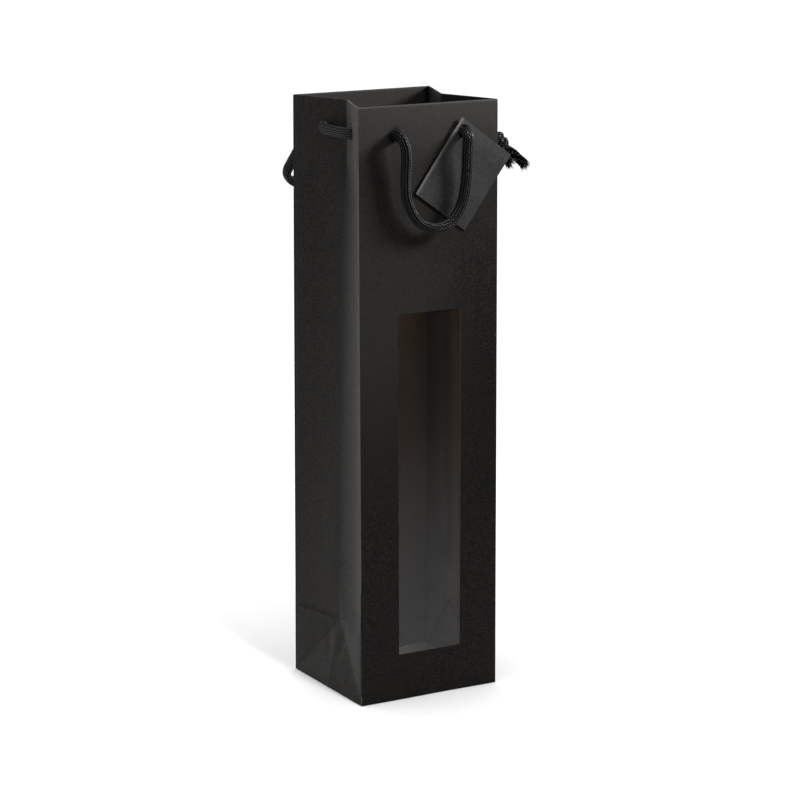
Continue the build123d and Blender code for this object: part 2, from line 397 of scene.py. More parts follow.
def distance_to_segment(points, a, b):
    a, b = np.asarray(a, float), np.asarray(b, float)
    along = np.clip((points - a) @ (b - a) / ((b - a) @ (b - a)), 0, 1)
    return np.linalg.norm(points - a - along[:, None] * (b - a), axis=1)


# Cords


BRAID_COLUMNS = 12
AROUND = 96
STEP = 0.24  # between two rings of a braided tube
PLAIT = 1.7  # from one plait to the next, along the cord
PLAIT_SLANT = 0.9
PLAIT_RELIEF = 0.75
CORD_HALF_WIDTH = 3.65  # the braid is a little flattened
CORD_HALF_THICKNESS = 2.6


def route_line(route, step=STEP):
    """Evenly spaced points on the smooth curve that has the route's points as its control points."""
    curve = bpy.data.curves.new("route", "CURVE")
    curve.dimensions = "3D"
    curve.resolution_u = 40
    spline = curve.splines.new("NURBS")
    spline.points.add(len(route) - 1)
    for point, place in zip(spline.points, route):
        point.co = (*place, 1)
    spline.order_u = 3
    spline.use_endpoint_u = True
    holder = bpy.data.objects.new("route", curve)
    mesh = bpy.data.meshes.new_from_object(holder)
    line = np.array([v.co for v in mesh.vertices], float)
    bpy.data.meshes.remove(mesh)
    bpy.data.objects.remove(holder)
    bpy.data.curves.remove(curve)
    along = np.concatenate([[0], np.cumsum(np.linalg.norm(np.diff(line, axis=0), axis=1))])
    at = np.linspace(0, along[-1], int(along[-1] / step) + 1)
    return np.stack([np.interp(at, along, line[:, k]) for k in range(3)], axis=1)


def frames_along(line, side):
    """Two directions across the line at each of its points, turned as little as possible between points."""
    forward = np.gradient(line, axis=0)
    forward /= np.linalg.norm(forward, axis=1)[:, None]
    across = np.zeros_like(line)
    current = np.asarray(side, float)
    for i, direction in enumerate(forward):
        current = current - (current @ direction) * direction
        current = current / np.linalg.norm(current)
        across[i] = current
    return across, np.cross(forward, across)


def braid_height(angle, along):
    """0 in the gaps to 1 on top of a plait. Neighbouring columns of plaits slant opposite ways."""
    column = angle / (2 * math.pi) * BRAID_COLUMNS
    index = np.floor(column)
    beside = column - index - 0.5
    slant = np.where(index % 2 == 0, PLAIT_SLANT, -PLAIT_SLANT)
    position = along / PLAIT + slant * beside + 0.5 * (index % 2)
    within = position - np.floor(position) - 0.5
    return np.sqrt(np.clip(1 - 3.6 * within**2, 0, 1)) * np.sqrt(np.clip(1 - 3.2 * beside**2, 0, 1))


def loose_plaits(angle, along):
    """How far each place on a loosened braid has come undone, 0 to 1."""
    return np.clip(0.45 + 0.8 * np.sin(3 * angle + 1.7 * along) * np.sin(2 * angle - 1.1 * along), 0, 1)


def braided_tube(name, line, side, material, girth=None, turned=None, loosened=None):
    """A closed braided tube along the line. girth scales and turned turns its flat section at each point."""
    across, up = frames_along(line, side)
    count = len(line)
    along = np.arange(count) * np.linalg.norm(line[1] - line[0])
    angle = np.linspace(0, 2 * math.pi, AROUND, endpoint=False)
    height = braid_height(angle[None, :], along[:, None])
    if loosened is not None:
        height = height * (1 - loosened[:, None] * loose_plaits(angle[None, :], along[:, None]))
    flat = angle[None, :] - (np.zeros(count) if turned is None else turned)[:, None]
    wide, thin = CORD_HALF_WIDTH, CORD_HALF_THICKNESS
    radius = wide * thin / np.sqrt((thin * np.cos(flat)) ** 2 + (wide * np.sin(flat)) ** 2)
    radius = radius - PLAIT_RELIEF * (1 - height)
    if girth is not None:
        radius = radius * girth[:, None]
    ring = (
        line[:, None, :]
        + radius[..., None] * np.cos(angle)[None, :, None] * across[:, None, :]
        + radius[..., None] * np.sin(angle)[None, :, None] * up[:, None, :]
    )
    vertices = np.concatenate([ring.reshape(-1, 3), line[:1], line[-1:]])
    faces = []
    for i in range(count - 1):
        for j in range(AROUND):
            k = (j + 1) % AROUND
            faces.append((i * AROUND + j, i * AROUND + k, (i + 1) * AROUND + k, (i + 1) * AROUND + j))
    last = (count - 1) * AROUND
    for j in range(AROUND):
        k = (j + 1) % AROUND
        faces.append((count * AROUND, k, j))
        faces.append((count * AROUND + 1, last + j, last + k))
    piece = finish_mesh(name, vertices, faces, [material], sharp=80)
    write_attribute(piece.data, "plait", np.concatenate([height.reshape(-1), [0.3, 0.3]]))
    return piece


INSIDE = 34.5  # distance from the middle of the bag at which a loop's ends meet the cords inside
HINGE_Y = half_depth(HOLE_Z) + 7.0
FRONT_LOOP = [
    (-20.4, 9.5),
    (-21.0, 27.0),
    (-19.8, 41.5),
    (-10.0, 56.5),
    (8.5, 59.3),
    (20.0, 46.5),
    (23.3, 28.0),
    (22.6, 9.0),
]
BACK_LOOP = [
    (-33.0, 14.0),
    (-36.8, 33.0),
    (-38.8, 46.0),
    (-29.0, 54.0),
    (-8.0, 59.0),
    (14.0, 51.0),
    (23.0, 25.0),
]
BACK_LOOP_TILT = math.radians(35)


def front_handle(material):
    """The front loop hangs close in front of the panel. Both its ends go through a hole to the inside."""
    hanging = [(x, -HINGE_Y - (1.5 if drop < 12 else 0), HOLE_Z - drop) for x, drop in FRONT_LOOP]
    start = [(-HOLE_X, -INSIDE, HOLE_Z), (-HOLE_X, -43.5, HOLE_Z + 0.3), (-HOLE_X + 0.2, -50.8, HOLE_Z - 0.4)]
    end = [(-x, y, z) for x, y, z in start[::-1]]
    line = route_line(start + hanging + end)
    turned = -math.pi / 2 * smoothstep(0.36, 0.7, np.linspace(0, 1, len(line)))
    piece = braided_tube("front_handle_cord", line, (0, 0, 1), material, turned=turned)
    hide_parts("front_handle_loop")
    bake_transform(piece)


def back_handle(material):
    """The back loop stands out from the panel, pulled to the left into a tight bend."""
    out, down = math.sin(BACK_LOOP_TILT), math.cos(BACK_LOOP_TILT)
    standing = [(x, HINGE_Y + reach * out, HOLE_Z - reach * down) for x, reach in BACK_LOOP]
    start = [(-HOLE_X, INSIDE, HOLE_Z), (-HOLE_X, 43.5, HOLE_Z + 0.3), (-HOLE_X - 0.8, 50.2, HOLE_Z - 0.6)]
    end = [(HOLE_X, 50.2, HOLE_Z - 0.6), (HOLE_X, 43.5, HOLE_Z + 0.3), (HOLE_X, INSIDE, HOLE_Z)]
    line = route_line(start + standing + end)
    turned = math.pi / 2 * smoothstep(0.3, 0.5, np.linspace(0, 1, len(line)))
    piece = braided_tube("back_handle_cord", line, (0, 0, 1), material, turned=turned)
    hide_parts("back_handle_loop")
    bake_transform(piece)


INNER_TURN_Y = half_depth(HOLE_Z) - 8.6  # where a cord turns inside the bag, on its way between two holes
SIDE_INNER = 6.0  # how far inside a side hole a cord's route bends


def left_side(material):
    """Taut along the left gusset from one side hole to the other, with both ends round to the panel holes."""
    front_centre, front_out = side_hole(-1, -1)
    front = [
        (-HOLE_X, -INSIDE - 0.2, HOLE_Z),
        (-HOLE_X, -INNER_TURN_Y + 2, HOLE_Z),
        tuple(front_centre - front_out * SIDE_INNER + Vector((0, -1.5, 0))),
        tuple(front_centre + front_out * 2.4 + Vector((0, -0.6, -0.5))),
    ]
    back = [(x, -y, z) for x, y, z in front[::-1]]
    line = route_line(front + back)
    piece = braided_tube("left_side_braid", line, (0, 0, 1), material)
    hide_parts("left_side_cord")
    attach(piece, "bag")


KNOT = Vector((61.0, -24.0, 348.5))
KNOT_AXIS = Vector((0.56, -0.25, -0.72)).normalized()
KNOT_RIGHT_FRONT = [(53.0, -22.0, 359.5), (57.0, -26.5, 352.5)]
KNOT_RIGHT_REAR = [(57.0, -1.0, 361.0), (61.5, -19.5, 352.5)]
TAIL_FRONT = [(66.0, -25.0, 346.0), (72.5, -26.5, 341.5), (79.5, -27.0, 335.0)]
TAIL_REAR = [(60.0, -26.5, 343.0), (64.0, -28.0, 340.0), (67.5, -28.5, 337.0)]
KNOT_SQUEEZE = 0.72  # how thin a cord gets inside the knot
WRAP_RADIUS = 5.2
WRAP_GIRTH = 0.86
KNOT_STAND = 8.0  # how far a cord runs straight out of its side hole before it bends to the knot


def right_cord(name, face, to_knot, tail, nodes, material):
    """From inside a panel hole, out through the side hole, through the knot and on to its frayed tip."""
    centre, outward = side_hole(1, face)
    route = [
        (HOLE_X, face * (INSIDE + 0.2), HOLE_Z),
        (HOLE_X, face * (INNER_TURN_Y - 2), HOLE_Z),
        tuple(centre - outward * SIDE_INNER),
        tuple(centre + outward * KNOT_STAND),
    ]
    line = route_line(route + to_knot + tail)
    near = np.linalg.norm(line - np.array(KNOT), axis=1)
    past = near * (np.arange(len(line)) > near.argmin())
    girth = 1 - (1 - KNOT_SQUEEZE) * bump(near, 0, 6.0) - 0.06 * smoothstep(3, 10, past)
    loosened = 0.5 * smoothstep(1, 7, past)
    piece = braided_tube(name, line, (0, 0, 1), material, girth=girth, loosened=loosened)
    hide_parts(*nodes)
    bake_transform(piece)
    return line


def knot_wraps(material):
    """The two cords' turns round each other, side by side, with their ends tucked into the knot."""
    side = KNOT_AXIS.orthogonal().normalized()
    up = KNOT_AXIS.cross(side)
    wraps = []
    for number, shift in enumerate((-3.0, 2.4)):
        route = []
        for turn in range(-2, 15):
            angle = math.radians(30 * turn + 150 * number)
            tuck = 1 - 0.75 * max(0, 1 - turn) / 3 - 0.75 * max(0, turn - 11) / 3
            middle = KNOT + KNOT_AXIS * (shift + 0.22 * (turn - 6))
            route.append(middle + (side * math.cos(angle) + up * math.sin(angle)) * WRAP_RADIUS * tuck)
        line = route_line(route)
        girth, loosened = np.full(len(line), WRAP_GIRTH), np.full(len(line), 0.3)
        piece = braided_tube(f"knot_wrap_{number + 1}", line, KNOT_AXIS, material, girth, loosened=loosened)
        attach(piece, "knot")
        wraps.append(piece)
    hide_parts("cord_knot")
    return wraps


def frayed_tip(name, tip, direction, seed, material):
    """Loose filaments of the braid splayed out of a cut end."""
    rng = random.Random(seed)
    direction = Vector(direction).normalized()
    side = direction.orthogonal().normalized()
    up = direction.cross(side)
    vertices, faces = [], []
    for _ in range(80):
        angle, out = rng.uniform(0, 2 * math.pi), rng.uniform(0.2, 2.7)
        spread = side * math.cos(angle) + up * math.sin(angle)
        start = Vector(tip) + spread * out - direction * 1.2
        lean = direction + spread * rng.uniform(0.0, 0.75) + Vector((0, 0, -rng.uniform(0, 0.35)))
        length, thick = rng.uniform(1.8, 4.8), rng.uniform(0.2, 0.42)
        curl = side * rng.uniform(-0.9, 0.9) + up * rng.uniform(-0.9, 0.9)
        base = len(vertices)
        for ring in range(5):
            t = ring / 4
            middle = start + lean.normalized() * length * t + curl * t * t
            size = thick * (1 - 0.75 * t)
            for corner in range(5):
                turn = 2 * math.pi * corner / 5
                vertices.append(tuple(middle + (side * math.cos(turn) + up * math.sin(turn)) * size))
        for ring in range(4):
            for corner in range(5):
                a, b = base + ring * 5 + corner, base + ring * 5 + (corner + 1) % 5
                faces.append((a, b, b + 5, a + 5))
        faces.append(tuple(base + corner for corner in range(4, -1, -1)))
        faces.append(tuple(base + 20 + corner for corner in range(5)))
    piece = finish_mesh(name, vertices, faces, [material], sharp=60)
    write_attribute(piece.data, "plait", [0.8] * len(vertices))
    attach(piece, "knot")
    return piece


def make_cords():
    material = braided_cord()
    front_handle(material)
    back_handle(material)
    left_side(material)
    wraps = knot_wraps(material)
    front_tip, rear_tip = Vector(TAIL_FRONT[-1]), Vector(TAIL_REAR[-1])
    front_fray = frayed_tip("front_tail_fray", front_tip, front_tip - Vector(TAIL_FRONT[-2]), 3, material)
    rear_fray = frayed_tip("rear_tail_fray", rear_tip, rear_tip - Vector(TAIL_REAR[-2]), 8, material)
    front_nodes = ["right_inner_cord_front", "right_cord_front", "cord_tail_front"]
    rear_nodes = ["right_inner_cord_rear", "right_cord_rear", "cord_tail_rear"]
    right_cord("right_front_braid", -1, KNOT_RIGHT_FRONT, TAIL_FRONT, front_nodes, material)
    right_cord("right_rear_braid", 1, KNOT_RIGHT_REAR, TAIL_REAR, rear_nodes, material)


# The folded sheet


PANEL_STEPS = [0.6, 0.85, 1.15, 1.6, 2.2, 3.0, 4.2, 6.0, 8.4]
FOLD_STEPS = [0.6, 0.8, 1.0, 1.2, 1.45, 1.75, 2.2, 2.8, 3.6]
CREASE_STEPS = [0.5, 0.75, 1.1, 1.6, 2.3]
HALF_RUN = DEPTH / 2  # a gusset half is as wide as half a side
ROUND_POINTS = 4  # inside each rounded corner


def panel_fractions():
    middle = list(np.arange(11.0, WIDTH - 10.9, 2.6))
    across = PANEL_STEPS + middle + [WIDTH - s for s in PANEL_STEPS[::-1]]
    return np.array(across) / WIDTH


def half_fractions():
    """From the panel fold, 0, to the crease, 1."""
    middle = list(np.arange(5.0, HALF_RUN - 3.4, 1.5))
    across = FOLD_STEPS + middle + [HALF_RUN - s for s in CREASE_STEPS[::-1]]
    return np.array(across) / HALF_RUN


PANEL_T = panel_fractions()
HALF_T = half_fractions()


def soft_min(a, b, softness):
    return 0.5 * (a + b - np.sqrt((a - b) ** 2 + softness**2))


def crease_softness(z):
    """How much the crease of a gusset is rounded off: crisp at the mouth and the foot, slack between them."""
    return 0.1 + 0.8 * smoothstep(62, 120, z) * (1 - smoothstep(312, 342, z))


def foot_crease(f, side, face):
    """Height of the foot's cross crease, which was not folded quite level."""
    rise = {(-1, -1): 10.5, (-1, 1): -0.4, (1, -1): 3.0, (1, 1): -2.0}[side, face]
    return FOOT_HEIGHT + rise * (1 - f)


def half_push(z, f, side, face):
    """How far a gusset half lies inside the straight line from its fold, f 0, to its crease, f 1."""
    from_fold, from_crease = f * HALF_RUN, (1 - f) * HALF_RUN
    stiff = 1 - smoothstep(318, 350, z)
    foot = 1 - smoothstep(FOOT_HEIGHT - 6, FOOT_HEIGHT + 14, z)
    bow = 2.1 if (side, face) == (-1, -1) else 0.9
    push = bow * stiff * (1 - foot) * 4 * f * (1 - f)
    soft = crease_softness(z)
    slope = max((visual_inset(z) - 4 * bow * stiff * (1 - foot)) / HALF_RUN, 0.02)
    push = push + soft * f - np.sqrt((slope * from_crease) ** 2 + soft**2) + slope * from_crease
    if z < FOOT_HEIGHT:
        softness = 0.5 * min(1, z / 4) * np.minimum(1, f * 9)
        level = FOOT_INSET * z / FOOT_HEIGHT
        push = push + soft_min(level, FOOT_INSET * f, softness) - level * f
    beside_fold = 0.3 * bump(from_fold, 1.5, 0.75) + 0.12 * bump(from_fold, 4, 2.5)
    line = foot_crease(f, side, face) + 0.3 * np.sin(from_fold / 3.1 + side + 2 * face)
    ridge = -0.5 * bump(z, line - 0.9, 1.3) + 0.4 * bump(z, line + 2.6, 2.2)
    buckle = 0.55 * bump(z, 29, 10) * bump(f, 0.82 - 0.006 * (z - 29), 0.08)
    wave = 0.16 * stiff * np.sin(z / 47 + 3 * f + side) * np.sin(math.pi * f)
    return push + beside_fold + ridge * np.sin(math.pi * np.clip(f, 0.06, 0.94)) + buckle + wave


def panel_push(z, t, face):
    """The gentle unevenness of a main panel, inwards, from one fold, t 0, to the other, t 1."""
    stiff = 1 - smoothstep(325, 352, z)
    edge = np.sin(math.pi * t)
    slow = 0.34 * math.sin(z / 61 + 1.3 * face) * np.sin(2 * math.pi * t + 0.5) * edge
    bulge = -0.55 * math.sin(math.pi * min(1, z / 340)) * edge**0.7
    card_edge = 0.10 * smoothstep(341, 345, z) * edge**0.3
    hollow = 0.2 * bump(z, 12, 14) * edge
    return stiff * (slow + bulge) - card_edge + hollow


class Edge:
    """One stretch of the bag's outline between two folds."""

    def __init__(self, start, end, kind, side, face, reverse=False):
        self.start, self.end = start, end
        self.kind, self.side, self.face, self.reverse = kind, side, face, reverse
        fractions = PANEL_T if kind == "panel" else HALF_T
        self.t = (1 - fractions[::-1]) if reverse else fractions

    def push(self, z):
        if self.kind == "panel":
            return panel_push(z, self.t, self.face)
        return half_push(z, (1 - self.t) if self.reverse else self.t, self.side, self.face)


OUTLINE = [
    Edge(0, 1, "panel", 0, -1),
    Edge(1, 2, "half", 1, -1),
    Edge(2, 3, "half", 1, 1, reverse=True),
    Edge(3, 4, "panel", 0, 1),
    Edge(4, 5, "half", -1, 1),
    Edge(5, 0, "half", -1, -1, reverse=True),
]


def visual_inset(z):
    """The crease inset with the extra pinch of the gussets a little below the mouth."""
    return crease_inset(z) + 1.5 * bump(z, 346, 32 if z > 346 else 52)


def outline_corners(z):
    depth, inset, half = half_depth(z), visual_inset(z), WIDTH / 2
    return [
        np.array(p, float)
        for p in (
            (-half, -depth),
            (half, -depth),
            (half - inset, 0),
            (half, depth),
            (-half, depth),
            (-half + inset, 0),
        )
    ]


def inward(a, b):
    along = (b - a) / np.linalg.norm(b - a)
    return np.array([-along[1], along[0]])


def ring(z, depth):
    """One loop round the bag. z and depth, which is from the outer face inwards, are (panel, half) pairs."""
    heights = {"panel": z[0], "half": z[1]}
    depths = {"panel": depth[0], "half": depth[1]}
    corners = outline_corners(sum(z) / 2)
    normals = [inward(corners[e.start], corners[e.end]) for e in OUTLINE]
    moved = []
    for i, corner in enumerate(corners):
        before, after = OUTLINE[i - 1], OUTLINE[i]
        n1, n2 = normals[i - 1], normals[i]
        d1, d2 = depths[before.kind], depths[after.kind]
        if before.kind == after.kind:
            middle = (n1 + n2) / np.linalg.norm(n1 + n2)
            moved.append(corner + middle * (d1 - crease_softness(sum(z) / 2)) / (middle @ n1))
        else:
            moved.append(np.linalg.solve(np.array([n1, n2]), [n1 @ corner + d1, n2 @ corner + d2]))
    stretches = []
    for edge, normal in zip(OUTLINE, normals):
        a, b = moved[edge.start], moved[edge.end]
        flat = a + edge.t[:, None] * (b - a) + edge.push(heights[edge.kind])[:, None] * normal
        stretches.append(np.column_stack([flat, np.full(len(flat), heights[edge.kind])]))
    points = []
    for i, stretch in enumerate(stretches):
        before = stretches[i - 1][-1]
        corner = np.array([*moved[i], (before[2] + stretch[0][2]) / 2])
        for k in range(1, ROUND_POINTS + 1):
            u = k / (ROUND_POINTS + 1)
            points.append((1 - u) ** 2 * before + 2 * u * (1 - u) * corner + u * u * stretch[0])
        points.extend(stretch)
    return np.array(points)


OUTER, EDGE, INNER = 0, 1, 2  # material places on the sheet


def both(value):
    """The same value for the panels and the gusset halves."""
    return (value, value)


def sheet_profile():
    """The sheet's section from the foot, over the rim and down the turned-in hem, and back on its other face.

    Each entry is the (panel, half) heights, the (panel, half) depths and the material up to the next entry.
    """
    thick = np.array([2 * PAPER + CARD_ROOM, 2 * PAPER + 0.05])
    bend = thick / 2
    beside_foot_crease = [FOOT_HEIGHT + s for s in (-2.4, -1.4, -0.6, 0.2, 1, 2)]
    foot_rows = [*np.arange(1.5, FOOT_HEIGHT - 3, 1.5), *beside_foot_crease]
    middle_rows = [*np.arange(FOOT_HEIGHT + 4, 336, 5.5), *np.arange(337, HEIGHT - 3, 3.2)]
    wall_rows = [0.55, *foot_rows, *middle_rows, HEIGHT - 2]
    hem_rows = list(np.linspace(HEIGHT - 2, HEM_BOTTOM, 14))
    rows = [(both(z), both(0.0), OUTER) for z in wall_rows]
    for turn in np.linspace(0, math.pi, 9):
        rise = HEIGHT - bend + bend * math.sin(turn)
        rows.append((tuple(rise), tuple(bend * (1 - math.cos(turn))), OUTER))
    rows += [(both(z), tuple(thick), OUTER) for z in hem_rows]
    rows[-1] = (*rows[-1][:2], EDGE)
    rows += [(both(z), tuple(thick - PAPER), INNER) for z in hem_rows[::-1]]
    for turn in np.linspace(math.pi, 0, 5):
        inner = bend - PAPER
        rise = HEIGHT - bend + inner * math.sin(turn)
        rows.append((tuple(rise), tuple(bend - inner * math.cos(turn)), INNER))
    rows += [(both(z), both(PAPER), INNER) for z in wall_rows[::-1]]
    rows.append((both(0.1), both(PAPER), OUTER))
    rows += [(both(z), both(d), OUTER) for z, d in ((0.0, 0.32), (0.03, 0.2), (0.14, 0.07), (0.3, 0.01))]
    return rows


def cylinder(work, centre, direction, radius, length, segments=48):
    rotation = Vector(direction).to_track_quat("Z", "Y").to_matrix().to_4x4()
    rotation.translation = Vector(centre) * MM
    bmesh.ops.create_cone(
        work,
        cap_ends=True,
        segments=segments,
        radius1=radius * MM,
        radius2=radius * MM,
        depth=length * MM,
        matrix=rotation,
    )


def window_and_holes(material):
    work = bmesh.new()
    for face in (-1, 1):
        for x in (-HOLE_X, HOLE_X):
            cylinder(work, (x, face * half_depth(HOLE_Z), HOLE_Z), (0, 1, 0), HOLE_RADIUS, 12)
        for side in (-1, 1):
            centre, outward = side_hole(side, face)
            cylinder(work, centre, outward, HOLE_RADIUS, 8)
    block = bmesh.ops.create_cube(work, size=1)["verts"]
    size = Vector((2 * WINDOW_HALF, 12, WINDOW_TOP - WINDOW_BOTTOM))
    middle = Vector((0, -DEPTH / 2, (WINDOW_TOP + WINDOW_BOTTOM) / 2))
    for vertex in block:
        vertex.co = Vector([(middle[k] + vertex.co[k] * size[k]) * MM for k in range(3)])
    mesh = bpy.data.meshes.new("cutters")
    work.to_mesh(mesh)
    work.free()
    mesh.materials.append(material)
    cutters = bpy.data.objects.new("cutters", mesh)
    bpy.context.scene.collection.objects.link(cutters)
    return cutters


KNEE = 0.2  # the share of a fold's height, from the base, above which it is worn differently


def fold_lines():
    """Each fold as (start, end, how much it is worn, how wide)."""
    lines = []
    base, top = outline_corners(0), outline_corners(HEIGHT)
    foot = outline_corners(FOOT_HEIGHT)
    for i in (0, 1, 3, 4):
        knee = tuple((1 - KNEE) * b + KNEE * t for b, t in zip((*base[i], 0), (*top[i], HEIGHT)))
        lines.append(((*base[i], 0), knee, 0.55, 0.6))
        lines.append((knee, (*top[i], HEIGHT), 0.9 if i == 0 else 0.5, 0.6))
        lines.append(((*base[i], 0), (*base[i], 7), 0.55, 1.7))
        lines.append(((*top[i], HEIGHT - 3), (*top[i], HEIGHT), 0.6, 1.6))
    for i, j in ((0, 1), (1, 2), (2, 3), (3, 4), (4, 5), (5, 0)):
        lines.append(((*top[i], HEIGHT), (*top[j], HEIGHT), 0.48, 0.5))
        lines.append(((*base[i], 0), (*base[j], 0), 0.4, 0.6))
    for i, corners in ((2, (1, 3)), (5, (4, 0))):
        for j in corners:
            lines.append(((*foot[i], FOOT_HEIGHT), (*foot[j], FOOT_HEIGHT), 0.24, 0.7))
    return lines


def painted_shade_at(points):
    """Painted shade: where the surface is painted near black because light does not reach it.

    That is beside the folds, along the creases, in the notch above the foot's front left corner, round the
    panel holes and on the turned-in top of the right gusset.
    """
    painted_shade = np.zeros(len(points))
    base, top, foot = outline_corners(0), outline_corners(HEIGHT), outline_corners(FOOT_HEIGHT)
    for i, side, face in ((0, -1, -1), (1, 1, -1), (3, 1, 1), (4, -1, 1)):
        a = np.array([*base[i], 0]) + (-0.1 * side, -1.5 * face, 0)
        b = np.array([*top[i], HEIGHT]) + (-0.5 * side, -1.4 * face, 0)
        near = bump(distance_to_segment(points, a, b), 0, 0.6)
        painted_shade = np.maximum(painted_shade, near * (0.6 + 0.3 * smoothstep(340, 362, points[:, 2])))
        apex = np.array([*foot[2 if side > 0 else 5], FOOT_HEIGHT])
        fold_end = np.array([*foot[i], foot_crease(0, side, face)])
        painted_shade = np.maximum(painted_shade, 0.5 * bump(distance_to_segment(points, apex, fold_end), 0, 0.7))
        painted_shade = np.maximum(painted_shade, 0.5 * bump(distance_to_segment(points, apex, (*base[i], 0)), 0, 0.8))
    for i in (2, 5):
        crease = distance_to_segment(points, (*foot[i], FOOT_HEIGHT + 30), (*top[i], HEIGHT - 45))
        painted_shade = np.maximum(painted_shade, 0.45 * bump(crease, 0, 6.5))
    notch = points - (-WIDTH / 2, -DEPTH / 2 + 0.8, FOOT_HEIGHT + 6)
    beside_notch = bump(np.hypot(notch[:, 0], notch[:, 1]), 0, 1.3)
    painted_shade = np.maximum(painted_shade, 0.9 * beside_notch * bump(notch[:, 2], 0, 4.5))
    for face in (-1, 1):
        for x in (-HOLE_X, HOLE_X):
            from_hole = np.linalg.norm(points - (x, face * half_depth(HOLE_Z), HOLE_Z), axis=1)
            painted_shade = np.maximum(painted_shade, 1 - smoothstep(4.3, 5.6, from_hole))
    x, y, z = points.T
    pushed = np.array([visual_inset(level) for level in z])
    wall = WIDTH / 2 - pushed * (1 - np.abs(y) / half_depth(z))
    shaded = (x < wall - 0.6) & (x > wall - 3) & (np.abs(y) < half_depth(z) - 1.5)
    return np.maximum(painted_shade, shaded * 0.55 * smoothstep(300, 345, z))


def make_sheet(outer, edge, inner):
    """The one sheet of paper that makes the walls, gussets, foot folds and turned-in hem."""
    rows = sheet_profile()
    rings = np.array([ring(z, depth) for z, depth, _ in rows])
    count, around = rings.shape[:2]
    faces, places = [], []
    for i in range(count):
        below = (i + 1) % count
        for j in range(around):
            k = (j + 1) % around
            faces.append((i * around + j, i * around + k, below * around + k, below * around + j))
            places.append(rows[i][2])
    sheet = finish_mesh("folded_sheet", rings.reshape(-1, 3), faces, [outer, edge, inner], places)
    mesh = cut(sheet, window_and_holes(edge))
    smooth_all(mesh, 35)
    points = points_of(mesh)
    wear = np.zeros(len(points))
    for start, end, amount, width in fold_lines():
        wear = np.maximum(wear, amount * bump(distance_to_segment(points, start, end), 0, width))
    write_attribute(mesh, "wear", wear)
    on_front = points[:, 1] < -half_depth(points[:, 2]) + 1
    x, y, z = points.T
    # Painted light: the top and the left middle of the front panel, low on the left gusset's rear half and
    # the back panel's left edge, the top of the back panel's inside and the rear left fold are painted
    # lighter.
    painted_light = on_front * 0.6 * smoothstep(300, HEIGHT, z) ** 2
    painted_light = np.maximum(painted_light, on_front * 0.6 * bump(z, 235, 75) * (1 - smoothstep(-15, 40, x)))
    painted_light = np.maximum(painted_light, 0.25 * (x < -WIDTH / 2 + 14) * (y > 0) * (1 - smoothstep(60, 160, z)))
    inner_back = (y > 30) & (y < half_depth(z) - 1) & (np.abs(x) < WIDTH / 2 - 5.5)
    painted_light = np.maximum(painted_light, 0.6 * inner_back * smoothstep(345, 365, z))
    rear_fold = [(*outline_corners(z)[4], z) for z in (0, HEIGHT)]
    write_attribute(mesh, "painted_light", np.maximum(painted_light, 0.5 * bump(distance_to_segment(points, *rear_fold), 0, 2.5)))
    # Painted shade along folds, creases and hole rims and on shaded insides.
    write_attribute(mesh, "painted_shade", painted_shade_at(points))
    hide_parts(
        "front_panel",
        "back_panel",
        "front_hem",
        "back_hem",
        *[f"{side}_gusset_{part}" for side in ("left", "right") for part in ("foot", "front", "rear")],
        *[f"{side}_hem_{part}" for side in ("left", "right") for part in ("front", "rear")],
    )
    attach(sheet, "bag")


def panel_strip(name, face, x_range, z_range, depths, materials):
    """A flat piece glued inside a main panel, following that panel's unevenness. depths are its two faces."""
    columns = np.linspace(*x_range, 27)
    levels = np.linspace(*z_range, 60)
    faces = []
    vertices = []
    for depth in depths:
        for z in levels:
            t = (columns + WIDTH / 2) / WIDTH
            y = half_depth(z) - depth - panel_push(z, t if face < 0 else 1 - t, face)
            vertices += [(x, face * v, z) for x, v in zip(columns, y)]
    wide, size = len(columns), len(columns) * len(levels)
    for i in range(len(levels) - 1):
        for j in range(wide - 1):
            a = i * wide + j
            faces.append((a, a + 1, a + wide + 1, a + wide))
            faces.append((size + a, size + a + wide, size + a + wide + 1, size + a + 1))
    for a, b in rim_pairs(len(levels), wide):
        faces.append((a, size + a, size + b, b))
    return finish_mesh(name, vertices, faces, materials)


def make_film(material):
    x, z = (FILM_LOW.x, FILM_HIGH.x), (FILM_LOW.z, FILM_HIGH.z)
    film = panel_strip("film_sheet", -1, x, z, (PAPER + GLUE, PAPER + GLUE + FILM), [material])
    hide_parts("window_film")
    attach(film, "bag")


def make_seam(material):
    x, z = (SEAM_LOW.x, SEAM_HIGH.x), (SEAM_LOW.z, SEAM_HIGH.z)
    seam = panel_strip("glued_seam", 1, x, z, (PAPER + GLUE, 2 * PAPER + GLUE), [material])
    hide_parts("seam_lap")
    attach(seam, "bag")


# Tag


TAG_LONG = 56.0
TAG_SHORT = 44.0
TAG_CARD = 0.6
TAG_HOLE_RADIUS = 4.6
TAG_HOLE_INSET = 6.5
TAG_Y = -(half_depth(HOLE_Z) + 2.0)


def tag_point(p, q, depth):
    """A point of the card, p along its long side and q along its short side from the corner by its hole."""
    across, down = TAG_LONG / 2 - TAG_HOLE_INSET, TAG_SHORT / 2 - TAG_HOLE_INSET
    turn = math.atan2(down, across)
    long_way = np.array([-math.sin(turn), -math.cos(turn)])
    short_way = np.array([math.cos(turn), -math.sin(turn)])
    from_hole = (p - TAG_HOLE_INSET) * long_way + (q - TAG_HOLE_INSET) * short_way
    free = smoothstep(6, 46, p)
    lean = 0.9 * smoothstep(4, 24, p)
    lift = free * 0.55 * np.clip(1 - q / 4, 0, 1) ** 2 + 0.3 * math.sin(p / 9) * max(0, 1 - q / 14) - lean
    return (HOLE_X + from_hole[0], TAG_Y - lift + depth, HOLE_Z + from_hole[1])


